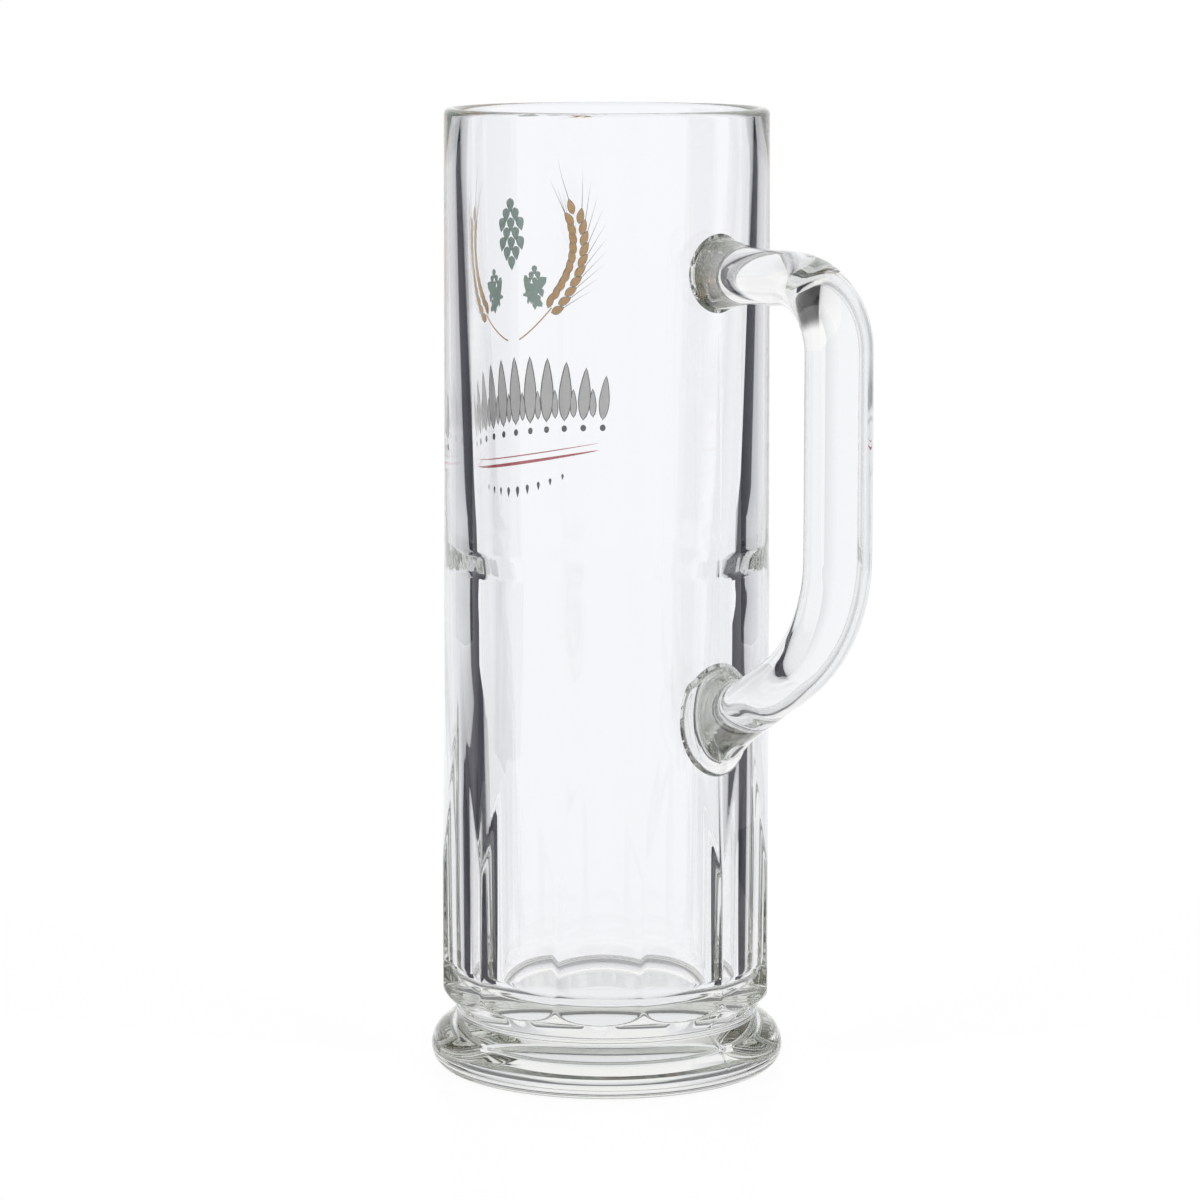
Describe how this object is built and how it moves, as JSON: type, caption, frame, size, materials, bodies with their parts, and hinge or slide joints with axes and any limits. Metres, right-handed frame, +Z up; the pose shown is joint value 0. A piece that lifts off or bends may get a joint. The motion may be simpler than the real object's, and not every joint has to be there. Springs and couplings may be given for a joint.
{
  "type": "beer mug",
  "caption": "Tall clear pressed-glass beer mug with a plain upper wall, flat panels round its lower wall, a thick round foot and a fused loop handle.",
  "frame": {"origin": "centre of the mug's round axis, in the plane of the ring that it stands on", "axes": "+Z up along the mug's axis to the mouth, +X from the axis out through the handle, +Y across the handle"},
  "size_m": [0.1142, 0.0768, 0.208],
  "materials": {
    "body_glass": "gloss",
    "handle_glass": "gloss",
    "print_dark": "gloss",
    "print_gold": "gloss",
    "print_green": "gloss",
    "print_red": "gloss",
    "print_silver": "gloss"
  },
  "bodies": {
    "root": {"mug_body": "body_glass", "handle": "handle_glass"}
  },
  "joints": []
}
